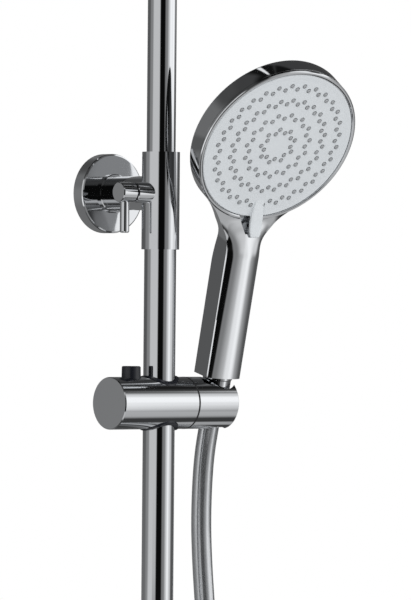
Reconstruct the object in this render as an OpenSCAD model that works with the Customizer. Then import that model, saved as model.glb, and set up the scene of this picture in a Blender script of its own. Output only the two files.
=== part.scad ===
// Shower set: telescopic riser on one wall bracket, slider with hand shower holder,
// round hand shower and metal-look hose. Millimetres, +Z up, wall plane at y = 0,
// the object stands out from the wall towards -Y.

/* [Riser] */
// Distance from the wall to the riser axis
riser_off = 61; // [55:1:75]
// Outside diameter of the lower tube
lower_d = 22; // [20:0.5:25]
// Wall of the lower tube
lower_wall = 0.7; // [0.6:0.1:1]
// Length of the lower tube
lower_len = 475; // [440:5:700]
// Wall of the upper tube
upper_wall = 0.8; // [0.6:0.1:1]
// Length of the upper tube
upper_len = 400; // [300:5:430]
// Height of the upper tube's top above the bracket axis
upper_top = 142; // [120:1:160]
// Gap between the two tubes
tube_gap = 0.3; // [0.3:0.1:0.5]

/* [Bracket] */
// Outside diameter of the riser collar
collar_d = 26; // [25.5:0.5:30]
// Height of the collar above the bracket axis
collar_up = 28.2; // [24:0.2:36]
// Height of the collar below the bracket axis
collar_down = 38.8; // [34:0.2:50]
// Diameter of the stem that goes back to the wall
stem_d = 23.5; // [22:0.5:24]
// Diameter of the wall flange
flange_d = 55; // [52:1:70]
// Thickness of the wall flange
flange_t = 10; // [9:0.5:14]
// Diameter of the ring on the front of the flange
flange_boss_d = 27; // [26.5:0.5:32]
// Thickness of the wall plate
plate_t = 5; // [4:0.5:6]
// Pitch circle of the wall screws
screw_pcd = 34; // [32:1:36]
// Diameter of the wall screw holes
screw_hole_d = 5; // [4:0.5:5.5]

/* [Lock lever] */
// Diameter of the turning knob of the lock
knob_d = 13.6; // [13:0.2:15]
// Distance from the riser axis to the outer end of the knob
knob_end = 37.8; // [36:0.2:44]
// Distance from the riser axis to the end of the fixed lock boss
boss_end = 24.8; // [22:0.2:26]
// Width of the dark groove between boss and knob
lock_groove = 1; // [0.6:0.1:1.5]
// Diameter of the lever pin
lever_d = 6.5; // [5:0.5:7]
// Reach of the lever pin below the lock axis
lever_len = 27.8; // [22:0.2:36]
// Diameter of the clamping screw
lock_screw_d = 8; // [6:0.5:9]

/* [Slider] */
// Distance of the slider axis below the bracket axis
slider_drop = 144.4; // [120:0.2:180]
// Diameter of the slider
slider_d = 36; // [35:0.5:40]
// Distance from the riser axis to the slider's cap end
slider_left = 44.5; // [44:0.5:52]
// Distance from the riser axis to the seam with the holder
seam_x = 21.4; // [20.5:0.1:24]
// Width of the seam
seam_w = 1; // [0.8:0.1:1.5]
// Thickness of the end cap
cap_t = 2.5; // [2:0.5:4]
// Outside diameter of the dark rings around the tube
ring_d = 27; // [26:0.5:30]
// How far the dark rings stand proud of the slider
ring_proud = 0.9; // [0.5:0.1:1.5]
// Outside diameter of the sliding bush
bush_d = 24.4; // [24:0.2:25]
// Distance from the riser axis to the release button
button_x = 25.1; // [24.5:0.1:26]
// Diameter of the release button
button_d = 13.4; // [11:0.2:13.6]
// Height of the button above the slider axis
button_top = 25.4; // [24:0.2:28]
// Travel of the button
button_travel = 3; // [2:0.5:4]
// Travel of the brake pad
pad_travel = 0.5; // [0.3:0.1:0.6]

/* [Holder] */
// Distance from the riser axis to the seat axis
seat_x = 49; // [48.5:0.1:50]
// Distance from the riser axis to the holder's open end
holder_end = 58; // [57:0.5:60]
// Diameter of the seat's mouth
mouth_d = 25; // [24.6:0.2:26]
// Width of the slot that the hose passes through
hose_slot = 15.4; // [15:0.2:17]
// Diameter of the holder's axle screw
axle_d = 6; // [5:0.5:7]

/* [Hand shower] */
// Lean of the handle away from the wall, in degrees
hand_lean = 13.4; // [8:0.2:20]
// Turn of the hand shower in its seat, in degrees
hand_turn = -7.2; // [-12:0.2:0]
// Gap between the slider and the bottom of the handle
grip_gap = 1.5; // [1:0.1:4]
// Width of the handle
grip_w = 27.6; // [25:0.2:29]
// Depth of the handle behind its axis
grip_back = 9.8; // [9:0.2:12]
// Depth of the flat sides in front of the axis, at the bottom
grip_edge = 7.2; // [5:0.1:8]
// Height of the crowned front above the flat sides
grip_crown = 3.4; // [2.5:0.1:5]
// Distance from the seat centre to the face centre, along the handle
head_up = 188; // [180:0.2:210]
// Distance from the handle axis to the face centre, forwards
head_fwd = 26.7; // [22:0.1:28]
// Bend of the head against the handle, in degrees
head_bend = 19.8; // [16:0.2:24]
// Outside diameter of the head
head_d = 120; // [112:1:130]
// Height of the head's side wall
rim_t = 13.75; // [10:0.25:15]
// Depth of the head at its middle, behind the face
head_depth = 22.25; // [21:0.25:25]
// Radius of the fillets between handle and head
flare_r = 52; // [44:1:60]
// Wall of the plastic shells
shell_wall = 2; // [1.6:0.1:2.4]

/* [Spray face] */
// Width of the chrome trim ring
trim_w = 2.7; // [2.2:0.1:3.5]
// Height of the trim ring over the nozzle plane
trim_proud = 0.6; // [0.4:0.05:2.5]
// Distance between the nozzle rings
nozzle_pitch = 11.67; // [11:0.05:12]
// Diameter of a nozzle
nozzle_d = 3.2; // [2.8:0.1:3.4]
// Radial distance of the two nozzles of a pair
pair_dr = 2.75; // [2.4:0.05:3]
// Sideways distance of the two nozzles of a pair
pair_dt = 4.8; // [4.4:0.05:5.2]
// Height of the nozzles over the face
nozzle_proud = 0.9; // [0.6:0.1:1.2]
// Width of the selector tab at the edge of the face
tab_w = 9; // [8:0.2:12]
// Swing of the selector tab to each side, in degrees
tab_swing = 4.6; // [3:0.2:6]

/* [Hose] */
// Outside diameter of the hose
hose_d = 14; // [14:0.5:14.5]
// Length of the hose between its ferrules
hose_len = 1600; // [1550:10:1700]
// Number of turns that the spare length is coiled into
coil_turns = 3; // [3:1:3]
// Distance between neighbouring turns
coil_pitch = 14.8; // [14.7:0.1:16]
// Length of the cone nut
cone_len = 24; // [23:0.5:27]
// Large diameter of the cone nut
cone_d = 23.8; // [23.6:0.1:24]
// Small diameter of the cone nut
cone_small_d = 20.4; // [20.2:0.1:21]

/* [Threads] */
// Outside diameter of the half inch pipe thread
thread_od = 20.96; // [20.9:0.01:21]
// Core diameter of the half inch pipe thread
thread_id = 18.63; // [18.6:0.01:18.7]
// Length of the outlet thread at the top of the riser
top_thread = 12; // [10:0.5:16]
// Width across the flats of the inlet nut
inlet_af = 27; // [26:0.5:30]

/* [Hidden] */
$fn = 48;

// Clearances: a fixed fit, a running fit, and free air between moving faces
fixed_gap = 0.05;
run_gap = 0.08;
air = 0.3;
eps = 0.01;

chrome = [0.74, 0.75, 0.77];
dark_chrome = [0.42, 0.43, 0.46];
black = [0.13, 0.14, 0.17];
brass = [0.78, 0.64, 0.36];
white = [0.87, 0.88, 0.89];
grey = [0.6, 0.62, 0.64];

lower_r = lower_d/2;
lower_bore = lower_r - lower_wall;
upper_r = lower_bore - tube_gap;
upper_bore = upper_r - upper_wall;
upper_bottom = upper_top - upper_len;
grip_start = slider_d/2 + grip_gap;
lower_top = -12.5;
lower_bottom = lower_top - lower_len;
collar_bore = upper_r + 0.6;
bush_len = 10;
bush_seat_r = collar_d/2 - 1.1;

// Wall side of the bracket
spigot_r = stem_d/2 - 2.7;
spigot_len = 23;
stem_wall_gap = 1;
grub_y = 18;
grub_r = 2.5;
flange_wall = 1.2;
flange_edge = 1.2;
flange_boss_t = 2.5;

// Slider
slider_r = slider_d/2;
bush_half = 9.3;
bush_bore = lower_r + run_gap;
ring_from = bush_half + 0.2;
cavity_r = 9;
cavity_end = slider_left - cap_t;
pad_r = cavity_r - air;
pad_left = 34;
holder_start = seam_x + seam_w;
axle_head_x = 36.2;
axle_head_t = 2.4;
axle_washer_t = 0.8;
axle_head_r = 5;
axle_end = 15.5;

// Hose cone and its seat, heights along the seat axis
cone_top = 9;
cone_bottom = cone_top - cone_len;
cone_slope = (cone_d - cone_small_d)/2/cone_len;
ferrule_r = 7.6;
ferrule_flange_r = 8.7;
ferrule_top = -3;
ferrule_flange_t = 2;
ferrule_end = cone_bottom - 0.5;
connector_end = ferrule_top + 2.2;

// Hand shower
head_r = head_d/2;
trim_inner = head_r - trim_w;
plate_r = trim_inner - air;
plate_t2 = 2.5;
mat_t = 2;
trim_depth = 2;
nozzle_counts = [9, 15, 24, 30];
nozzle_phases = [12.7, 8.6, 13.9, 11.6];
flare_v = sqrt(pow(head_r + flare_r, 2) - pow(grip_w/2 + flare_r, 2));
join_v = flare_v*head_r/(head_r + flare_r);
neck_end_v = 38;
neck_end_u = flare_u(-neck_end_v);
// The fillets come in late, over a short length, so the neck stays slim as far as the head
flare_lag = 7;
flare_soft = 18;
grip_corner = 1.6;
grip_stations = [for (i = [0:5]) grip_start + i*(flare_u(-flare_v) - grip_start)/5];
neck_stations = [for (i = [1:12]) flare_u(-flare_v) + i*(flare_u(-neck_end_v) - flare_u(-flare_v))/12];
hand_stations = concat(grip_stations, neck_stations);
corner_steps = 6;
crown_steps = 14;
// Stations of the selector tab: half width, distance from the face centre, underside, top
tab_sections = [[0.35*tab_w, 44, -1, 0.05], [0.5*tab_w, 56.4, -1, 2.6], [0.5*tab_w, 57.3, 1.2, 2.9],
    [0.5*tab_w, 61, 1.9, 3.8], [0.48*tab_w, 66, 3.9, 5.7], [0.36*tab_w, 69.5, 5.4, 6.8]];
pocket_top = 56;
pocket_end = 69;

// Hose route below the seat, [y, z] from the slider axis, in the plane of the seat
hose_points = [[9.6, -46], [11, -66], [11.2, -88], [9.7, -112], [7.2, -136], [4.4, -160],
    [1.7, -184], [0, -209]];
coil_z = -234;
coil_sides = 6;
coil_rings = 24;
hose_sides = 10;
end_straight = hose_d;
end_spread = 7.5;
hose_start = [for (s = [0, 16]) [seat_x, (s - ferrule_end)*sin(hand_lean), -(s - ferrule_end)*cos(hand_lean)]];
hose_route = concat(hose_start, [for (p = hose_points) [seat_x, p[0], p[1]]], [[seat_x, 0, coil_z]]);
free_len = path_len(hose_route);
turn_len = (hose_len - free_len - 2*end_straight)/coil_turns;
coil_r = sqrt(turn_len*turn_len - coil_pitch*coil_pitch)/(2*PI);
end_z = coil_z - 2*end_straight;
coil_end_x = seat_x + coil_turns*coil_pitch + end_spread;
coil_path = concat([[seat_x, 0, coil_z]], [for (i = [0:coil_turns*coil_rings]) coil_point(360*i/coil_rings)],
    [[coil_end_x, 0, end_z]]);
self_gap = min([for (i = [0:len(coil_path) - 1], j = [i + coil_rings/2:1:len(coil_path) - 1])
    norm(coil_path[i] - coil_path[j])]) - hose_d;
end_ferrule_len = 16;
end_nut_len = 16.2;

function lerp(a, b, t) = a + (b - a)*t;
function smooth(t) = t <= 0 ? 0 : t >= 1 ? 1 : t*t*(3 - 2*t);
function path_len(p) = len(p) < 2 ? 0 : norm(p[1] - p[0]) + path_len([for (i = [1:len(p) - 1]) p[i]]);
function unit(v) = v/norm(v);

// Point of the coil at an angle, measured downwards from its wall side
function coil_point(a) = [
    seat_x + coil_pitch*a/360 + end_spread*smooth((a - 360*coil_turns + 88)/88),
    coil_r*(cos(a) - 1),
    coil_z - end_straight - coil_r*sin(a)];

// Height along the handle of a point v above the face centre, and back
function flare_u(v) = head_up + v*cos(head_bend);
function flare_face(u) = (u - head_up)/cos(head_bend);

// Half width of the handle and neck at the height u
function half_w(u) = let (v = -flare_face(u))
    v >= flare_v ? grip_w/2 :
    v >= join_v ? grip_w/2 + (flare_r - sqrt(flare_r*flare_r - pow(flare_v - v, 2)))
        *smooth(((flare_v - v)*cos(head_bend) - flare_lag)/flare_soft) :
    sqrt(head_r*head_r - v*v) - 1.2*smooth((join_v - v)/6);

// Depth of the front at its middle: level along the handle, then a hollow sweep up to the trim
neck_u = head_up - 84.4;
scoop_end = neck_u + 32;
seam_z = 0.3;
function rim_w(u) = head_fwd + seam_z - (head_up - u)*tan(head_bend);
function front_w(u) = let (t = (u - neck_u)/(scoop_end - neck_u))
    u < neck_u ? grip_edge + grip_crown :
    u >= scoop_end ? rim_w(u) :
    lerp(grip_edge + grip_crown, rim_w(scoop_end), smooth(t)) + (t*t*t - t*t)*tan(head_bend)*(scoop_end - neck_u);
// Height of the crown, and depth of the flat side's front edge
function crown_w(u) = u < neck_u ? lerp(grip_crown, grip_crown + 1, (u - grip_start)/(neck_u - grip_start)) :
    lerp(grip_crown + 1, 1.3, smooth((u - neck_u)/(scoop_end - neck_u)));
function edge_w(u) = front_w(u) - crown_w(u);

// Back of the handle at its middle and at its sides, which run into the head's back
back_end_w = head_depth*cos(head_bend) - head_fwd + (head_up - neck_end_u)*tan(head_bend) - 2;
side_end_w = rim_t*cos(head_bend) - head_fwd + (head_up - neck_end_u)*tan(head_bend) + 2;
function blend_u(u) = smooth((u - neck_u + 6)/(neck_end_u - neck_u + 6));
function back_w(u) = lerp(grip_back + 1.3*min(1, (u - grip_start)/(neck_u - grip_start)), back_end_w, blend_u(u));
function side_w(u) = lerp(grip_back + 1.3*min(1, (u - grip_start)/(neck_u - grip_start)) - grip_corner, side_end_w, blend_u(u));
function corner_w(u) = lerp(grip_corner, half_w(u), blend_u(u));

// Outline of the rear shell's section at u, set in by a wall, as points in x and y.
// Its sides run square to the face, so a flared section is narrower at the back.
function rear_section(u, wall = 0, front = 0) =
    let (b = back_w(u) - wall, q = side_w(u) - wall*0.7, f = edge_w(u) + front,
        h = half_w(u) - wall, g = half_w(u - (edge_w(u) + q)*tan(head_bend)) - wall, c = min(corner_w(u), g))
    concat(
        [[h, -f, u]],
        [for (i = [0:corner_steps]) let (a = 90*i/corner_steps) [g - c + c*cos(a), q + (b - q)*sin(a), u]],
        [for (i = [0:corner_steps]) let (a = 90 + 90*i/corner_steps) [-g + c + c*cos(a), q + (b - q)*sin(a), u]],
        [[-h, -f, u]]);

// Section of the front cover at u: flat at the back, crowned at the front
function cover_section(u, wall = 0) =
    let (h = half_w(u) - wall, f = edge_w(u) - (wall > 0 ? 1 : 0), c = crown_w(u) - wall + (wall > 0 ? 1 : 0))
    [for (i = [0:crown_steps]) let (a = 180*i/crown_steps, x = -h*cos(a))
        [x, -f - max(c, 0.1)*pow(sin(a), 0.8), u]];

// Closed tube along a path, with rings square to it; ends are cut square too
function tube_points(p, r, sides, twist = 0) = [for (i = [0:len(p) - 1])
    let (t = unit(p[min(i + 1, len(p) - 1)] - p[max(i - 1, 0)]),
        n = unit(cross(t, [1, 0, 0])), b = cross(t, n))
    for (k = [0:sides - 1]) p[i] + r*(cos(360*k/sides + twist)*n + sin(360*k/sides + twist)*b)];

// Sections of n points each, joined in turn and closed at both ends
module skin(points, n) {
    rings = len(points)/n;
    polyhedron(points = points, faces = concat(
        [[for (k = [0:n - 1]) k]],
        [[for (k = [0:n - 1]) rings*n - 1 - k]],
        [for (i = [0:rings - 2], k = [0:n - 1]) let (a = i*n + k, b = i*n + (k + 1)%n) [a, a + n, b]],
        [for (i = [0:rings - 2], k = [0:n - 1]) let (a = i*n + k, b = i*n + (k + 1)%n) [b, a + n, b + n]]));
}

module tube(p, r, sides, twist = 0) {
    skin(tube_points(p, r, sides, twist), sides);
}

// A loft through the sections that a list gives, seen from the handle's bottom
module loft(sections) {
    skin([for (s = sections) each s], len(sections[0]));
}

module at_riser(z = 0) {
    translate([0, -riser_off, z]) children();
}

module at_slider() {
    at_riser(-slider_drop) children();
}

module at_seat() {
    at_slider() translate([seat_x, 0, 0]) rotate([hand_lean, 0, 0]) children();
}

module in_hand() {
    at_seat() rotate([0, 0, hand_turn]) children();
}

// Face frame: x to the right, y up in the face, z out of it; z = 0 is the nozzle plane
module at_face() {
    in_hand() translate([0, -head_fwd, head_up]) rotate([head_bend + 90, 0, 0]) children();
}

// Cylinder along Y, from y0 towards the wall
module y_cyl(r, y0, y1) {
    translate([0, y0, 0]) rotate([-90, 0, 0]) cylinder(r = r, h = y1 - y0);
}

// Cylinder along X, from x0 to x1
module x_cyl(r, x0, x1) {
    translate([x0, 0, 0]) rotate([0, 90, 0]) cylinder(r = r, h = x1 - x0);
}

// Cylinder along X with broken edges at one or both ends
module x_barrel(r, x0, x1, c0 = 0, c1 = 0) {
    translate([x0, 0, 0]) rotate([0, 90, 0]) rotate_extrude()
        polygon([[0, 0], [r - c0, 0], [r, c0], [r, x1 - x0 - c1], [r - c1, x1 - x0], [0, x1 - x0]]);
}

// Upright pipe
module pipe(r, bore, z0, z1) {
    translate([0, 0, z0]) difference() {
        cylinder(r = r, h = z1 - z0);
        translate([0, 0, -1]) cylinder(r = bore, h = z1 - z0 + 2);
    }
}

module ring_of(count, radius) {
    for (i = [0:count - 1]) rotate([0, 0, 360*i/count]) translate([radius, 0, 0]) children();
}

// Wall plate with its spigot, screwed to the wall
module wall_plate() {
    color(dark_chrome) rotate([90, 0, 0]) difference() {
        union() {
            cylinder(r = flange_d/2 - 4.5, h = plate_t);
            cylinder(r = spigot_r, h = plate_t + spigot_len);
        }
        ring_of(3, screw_pcd/2) translate([0, 0, -1]) cylinder(d = screw_hole_d, h = plate_t + 2);
        translate([0, -spigot_r + 2, grub_y]) rotate([90, 0, 0]) cylinder(r = grub_r + fixed_gap, h = 6);
    }
}

// Round cover over the wall plate, pushed along the stem
module flange_cover() {
    r = flange_d/2;
    color(dark_chrome) rotate([90, 0, 0]) rotate_extrude() difference() {
        polygon([[0, 0], [r, 0], [r, flange_t - flange_edge], [r - flange_edge*0.3, flange_t - flange_edge*0.3],
            [r - flange_edge, flange_t], [flange_boss_d/2, flange_t],
            [flange_boss_d/2, flange_t + flange_boss_t - 0.5], [flange_boss_d/2 - 0.5, flange_t + flange_boss_t],
            [0, flange_t + flange_boss_t]]);
        translate([-1, -1]) square([stem_d/2 + fixed_gap + 1, flange_t + flange_boss_t + 2]);
        translate([-1, -1]) square([r - flange_wall + 1, flange_t - flange_wall + 1]);
    }
}

// Collar, stem and lock boss in one piece
module riser_bracket() {
    color(chrome) difference() {
        union() {
            at_riser(-collar_down) cylinder(d = collar_d, h = collar_down + collar_up);
            y_cyl(stem_d/2, -riser_off, -plate_t - stem_wall_gap);
            at_riser() x_barrel(knob_d/2 + 0.3, -boss_end, 0, 0.5, 0);
        }
        at_riser(-collar_down - 1) cylinder(r = lower_r + fixed_gap, h = lower_top + collar_down + 1);
        at_riser(lower_top - 1) cylinder(r = collar_bore, h = collar_up - lower_top + 2);
        at_riser(collar_up - bush_len) cylinder(r = bush_seat_r, h = bush_len + 1);
        y_cyl(spigot_r + fixed_gap, -plate_t - spigot_len - 1, 0);
        at_riser() x_cyl(lock_screw_d/2 + run_gap, -boss_end - 1, 0);
        translate([0, -grub_y, -stem_d/2 - 1]) cylinder(r = grub_r + fixed_gap, h = stem_d/2);
    }
}

// Grub screw that holds the stem on its spigot
module grub_screw() {
    color(black) translate([0, -grub_y, -stem_d/2 + 0.4]) difference() {
        cylinder(r = grub_r, h = stem_d/2 - spigot_r + 1.4);
        translate([0, 0, -1]) cylinder(r = 1.3, h = 2.6, $fn = 6);
    }
}

module lower_tube() {
    color(chrome) at_riser() pipe(lower_r, lower_bore, lower_bottom, lower_top);
}

// Plastic bush in the collar's mouth that guides the upper tube
module tube_bush() {
    color(grey) at_riser() pipe(bush_seat_r - fixed_gap, upper_r + run_gap, collar_up - bush_len + 0.1, collar_up - 0.3);
}

// Inlet end of the lower tube: plug, shoulder and tail with a lip for the nut
inlet_shoulder = 5;
inlet_tail_r = 7.4;
inlet_lip_r = 8.9;
inlet_lip_t = 2.5;
inlet_tail = 13.5;
inlet_bore_r = 5.6;
tail_bottom = lower_bottom - inlet_shoulder - inlet_tail;
module inlet_adapter() {
    color(chrome) at_riser() translate([0, 0, tail_bottom]) rotate_extrude() polygon([
        [inlet_bore_r, 0], [inlet_lip_r, 0], [inlet_lip_r, inlet_lip_t], [inlet_tail_r, inlet_lip_t],
        [inlet_tail_r, inlet_tail], [lower_r + 1.5, inlet_tail], [lower_r + 2, inlet_tail + 0.5],
        [lower_r + 2, inlet_tail + inlet_shoulder - 0.5], [lower_r + 1.5, inlet_tail + inlet_shoulder],
        [lower_bore - fixed_gap, inlet_tail + inlet_shoulder], [lower_bore - fixed_gap, inlet_tail + inlet_shoulder + 18],
        [inlet_bore_r, inlet_tail + inlet_shoulder + 18]]);
}

// Swivel nut at the inlet, half inch pipe thread inside
inlet_nut_top = lower_bottom - inlet_shoulder - 1;
inlet_washer_t = 2;
inlet_thread = 9;
inlet_thread_top = tail_bottom - inlet_washer_t - 0.4;
module inlet_nut() {
    color(chrome) at_riser() difference() {
        translate([0, 0, inlet_thread_top - inlet_thread])
            cylinder(d = inlet_af/cos(30), h = inlet_nut_top - inlet_thread_top + inlet_thread, $fn = 6);
        translate([0, 0, inlet_thread_top - inlet_thread - 1]) cylinder(d = thread_id, h = inlet_thread + 2);
        translate([0, 0, inlet_thread_top]) cylinder(r = inlet_lip_r + air + 0.4, h = tail_bottom + inlet_lip_t + air - inlet_thread_top);
        translate([0, 0, tail_bottom]) cylinder(r = inlet_tail_r + run_gap, h = inlet_nut_top - tail_bottom + 1);
    }
}

module inlet_washer() {
    color(black) at_riser() pipe(inlet_lip_r, inlet_bore_r + 0.4, tail_bottom - inlet_washer_t, tail_bottom);
}

// Plug in the foot of the upper tube, with two seal grooves
plug_in = 14;
plug_head = 18;
seal_cord = 1;
seal_r = lower_bore - run_gap - seal_cord;
seal_z = [5, 12];
plug_bore = 6;
module seal_plug() {
    color(white) at_riser() translate([0, 0, upper_bottom - plug_head]) difference() {
        union() {
            cylinder(r = upper_r, h = plug_head - 0.2);
            cylinder(r = upper_bore - run_gap, h = plug_head + plug_in);
        }
        translate([0, 0, -1]) cylinder(r = plug_bore, h = plug_head + plug_in + 2);
        for (z = seal_z) translate([0, 0, z - 1.2]) pipe(upper_r + 1, seal_r - seal_cord - fixed_gap, 0, 2.4);
    }
}

module seal_rings() {
    color(black) at_riser() translate([0, 0, upper_bottom - plug_head])
        for (z = seal_z) translate([0, 0, z]) rotate_extrude() translate([seal_r, 0]) circle(r = seal_cord);
}

module upper_tube() {
    color(chrome) at_riser() pipe(upper_r, upper_bore, upper_bottom, upper_top);
}

// Outlet end of the upper tube, half inch pipe thread outside
outlet_collar = 8;
module outlet_adapter() {
    color(chrome) at_riser() translate([0, 0, upper_top]) rotate_extrude() polygon([
        [6.5, -20], [upper_bore - fixed_gap, -20], [upper_bore - fixed_gap, 0], [upper_r + 2, 0],
        [upper_r + 2.5, 0.5], [upper_r + 2.5, outlet_collar - 0.5], [upper_r + 2, outlet_collar],
        [thread_od/2 - 0.8, outlet_collar], [thread_od/2 - 0.8, outlet_collar + 1.5], [thread_od/2, outlet_collar + 1.5],
        [thread_od/2, outlet_collar + 1.5 + top_thread], [6.5, outlet_collar + 1.5 + top_thread]]);
}

// Lock: shoe, screw, knob and lever pin, all on one axis through the riser
shoe_back = 15;
module clamp_shoe() {
    color(brass) at_riser() difference() {
        x_cyl(lock_screw_d/2, -shoe_back, 0);
        translate([0, 0, -10]) cylinder(r = upper_r + air, h = 20);
    }
}

screw_neck = 2.6;
lever_x = knob_end - 5.6;
knob_start = boss_end + lock_groove;
module lock_screw() {
    color(dark_chrome) at_riser() {
        x_cyl(lock_screw_d/2, -knob_start - 2, -shoe_back - air);
        x_cyl(screw_neck, -lever_x + lever_d/2 + 0.5, -knob_start - 2);
    }
}

module lock_knob() {
    color(chrome) at_riser() difference() {
        x_barrel(knob_d/2, -knob_end, -knob_start, 0.6, 0.4);
        x_cyl(screw_neck + fixed_gap, -lever_x, -knob_start);
        x_cyl(lock_screw_d/2 + fixed_gap, -knob_start - 2.1, -knob_start + 1);
        translate([-lever_x, 0, -knob_d]) cylinder(r = lever_d/2 - 0.7 + fixed_gap, h = knob_d - 1.4);
    }
}

module lever_pin() {
    r = lever_d/2;
    color(chrome) at_riser() translate([-lever_x, 0, -lever_len]) rotate_extrude() polygon([
        [0, 0], [r - 1, 0], [r - 0.3, 0.3], [r, 1], [r, lever_len - knob_d/2 - fixed_gap],
        [r - 0.7, lever_len - knob_d/2 - fixed_gap], [r - 0.7, lever_len - 1.6], [0, lever_len - 1.6]]);
}

// Split bush that slides on the lower tube; the slider turns on it
module slider_bush() {
    color(white) at_slider() difference() {
        pipe(bush_d/2, bush_bore, -bush_half, bush_half);
        translate([0, -1, -bush_half - 1]) cube([20, 2, 2*bush_half + 2]);
    }
}

module slider_body() {
    color(chrome) at_slider() difference() {
        x_cyl(slider_r, -cavity_end, seam_x);
        translate([0, 0, -slider_r]) cylinder(r = bush_d/2 + run_gap, h = slider_d);
        for (s = [0, 1]) mirror([0, 0, s])
            translate([0, 0, ring_from]) cylinder(r = ring_d/2 + fixed_gap, h = slider_r);
        x_cyl(cavity_r, -cavity_end - 1, -bush_d/2 + 2);
        translate([-button_x, 0, 0]) cylinder(r = button_d/2 + air + 0.05, h = slider_d);
        x_cyl(axle_d/2 + fixed_gap, axle_end - 0.5, seam_x + 1);
    }
}

module slider_end_cap() {
    color(dark_chrome) at_slider() difference() {
        union() {
            x_barrel(slider_r, -slider_left, -cavity_end, 0.6, 0);
            x_cyl(cavity_r - fixed_gap, -cavity_end, -cavity_end + 3);
        }
        x_cyl(4.4, -cavity_end - 0.5, -cavity_end + 4);
    }
}

// Dark saddle rings where the riser passes through the slider
module bush_rings() {
    color(black) at_slider() for (s = [0, 1]) mirror([0, 0, s]) intersection() {
        pipe(ring_d/2, lower_r + air + 0.05, ring_from, slider_d);
        x_cyl(slider_r + ring_proud, -slider_d, slider_d);
    }
}

module brake_pad() {
    color(grey) at_slider() difference() {
        x_cyl(pad_r, -pad_left, -bush_d/2 + 2);
        translate([0, 0, -slider_r]) cylinder(r = bush_d/2 + air, h = slider_d);
        translate([-button_x, 0, -slider_r]) cylinder(r = stem_r + pad_travel + 0.8, h = slider_d);
    }
}

module pad_spring() {
    color(grey) at_slider() difference() {
        x_cyl(4.2, -cavity_end - 0.4, -pad_left - pad_travel - 0.2);
        x_cyl(3.4, -cavity_end - 1, -pad_left);
    }
}

stem_r = 4.2;
button_head_z = 12.2;
button_stem_z = 2;
module release_button() {
    r = button_d/2;
    color(black) at_slider() translate([-button_x, 0, 0]) rotate_extrude() polygon([
        [0, button_stem_z], [stem_r - 0.4, button_stem_z], [stem_r, button_stem_z + 1], [stem_r, button_head_z],
        [r, button_head_z + 1], [r - 0.2, button_top - 0.6], [r - 0.8, button_top], [0, button_top]]);
}

spring_foot = -7.8;
module button_spring() {
    color(grey) at_slider() translate([-button_x, 0, 0]) pipe(3.8, 3, spring_foot, button_stem_z - 0.1);
}

// Dark ring in the seam between slider and holder
module friction_ring() {
    color(black) at_slider() difference() {
        x_cyl(slider_r - 0.7, seam_x, holder_start - 0.1);
        x_cyl(axle_d/2 + air, seam_x - 1, holder_start + 1);
    }
}

// Screw that the holder tilts on
module axle_screw() {
    color(dark_chrome) at_slider() difference() {
        union() {
            x_cyl(axle_d/2, axle_end, axle_head_x - axle_head_t);
            x_barrel(axle_head_r, axle_head_x - axle_head_t, axle_head_x, 0, 0.5);
        }
        translate([axle_head_x - 1.8, 0, 0]) rotate([0, 90, 0]) cylinder(r = 1.8, h = 3, $fn = 6);
    }
}

module axle_washer() {
    x1 = axle_head_x - axle_head_t - 0.1;
    color(grey) at_slider() difference() {
        x_cyl(axle_head_r - 0.2, x1 - axle_washer_t, x1);
        x_cyl(axle_d/2 + 0.2, x1 - 2, x1 + 1);
    }
}

// Radius of the cone nut, and of its seat, at a height along the seat axis
function cone_r(u) = cone_small_d/2 + cone_slope*(u - cone_bottom);

// Holder with its conical seat and the slot at its open end
module holder() {
    washer_x = axle_head_x - axle_head_t - axle_washer_t - 0.2;
    color(chrome) at_slider() rotate([hand_lean, 0, 0]) difference() {
        x_barrel(slider_r, holder_start, holder_end, 0, 0.8);
        translate([seat_x, 0, 0]) rotate_extrude() polygon([
            [0, -slider_d], [cone_r(cone_bottom) + air, -slider_d], [cone_r(cone_bottom) + air, cone_bottom],
            [cone_r(cone_top) + air, cone_top], [mouth_d/2, cone_top + 0.2], [mouth_d/2, slider_d], [0, slider_d]]);
        translate([seat_x, -hose_slot/2, -slider_d]) cube([slider_d, hose_slot, 2*slider_d]);
        x_cyl(axle_d/2 + run_gap, holder_start - 1, seat_x);
        x_cyl(axle_head_r + air + 0.1, washer_x, seat_x);
    }
}

// Section of the head behind the trim ring, as radius and depth
dome_pts = [for (i = [0:8]) let (t = i/8) [lerp(head_r - 3, 0, t), -rim_t - 2 - (head_depth - rim_t - 2)*sin(90*t)]];
module head_profile(inset) {
    s = (head_r - inset)/head_r;
    polygon(concat([[0, -trim_depth + (inset > 0 ? 1 : 0)], [head_r - inset, -trim_depth + (inset > 0 ? 1 : 0)],
        [head_r - inset, -rim_t + inset*0.5], [head_r - inset - 0.8, -rim_t - 1.3 + inset]],
        [for (p = dome_pts) [p[0]*s, p[1] + inset]]));
}

// Rear shell: back and flat sides of the handle, and the back of the head
module rear_shell() {
    color(dark_chrome) difference() {
        union() {
            in_hand() loft([for (u = hand_stations) rear_section(u)]);
            at_face() rotate_extrude() head_profile(0);
        }
        in_hand() loft([for (u = hand_stations) rear_section(u == grip_start ? u + 8 : u, shell_wall, 1)]);
        at_face() rotate_extrude() head_profile(shell_wall);
        at_face() translate([0, 0, -trim_depth]) cylinder(r = head_r + 0.1, h = 60);
        in_hand() cylinder(r = thread_od/2 + fixed_gap, h = grip_start + 30);
    }
}

// Front cover of the handle and neck, cut out around the face and for the tab
module front_cover() {
    color(chrome) difference() {
        in_hand() loft([for (u = hand_stations) if (u < head_up - join_v*0.86) cover_section(u)]);
        in_hand() loft([for (u = hand_stations) if (u < head_up - join_v*0.8) cover_section(u == grip_start ? u + 8 : u, shell_wall)]);
        at_face() translate([0, 0, -30]) cylinder(r = head_r + fixed_gap, h = 90);
        in_hand() cylinder(r = thread_od/2 + fixed_gap, h = grip_start + 30);
        tab_pocket();
    }
}

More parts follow.
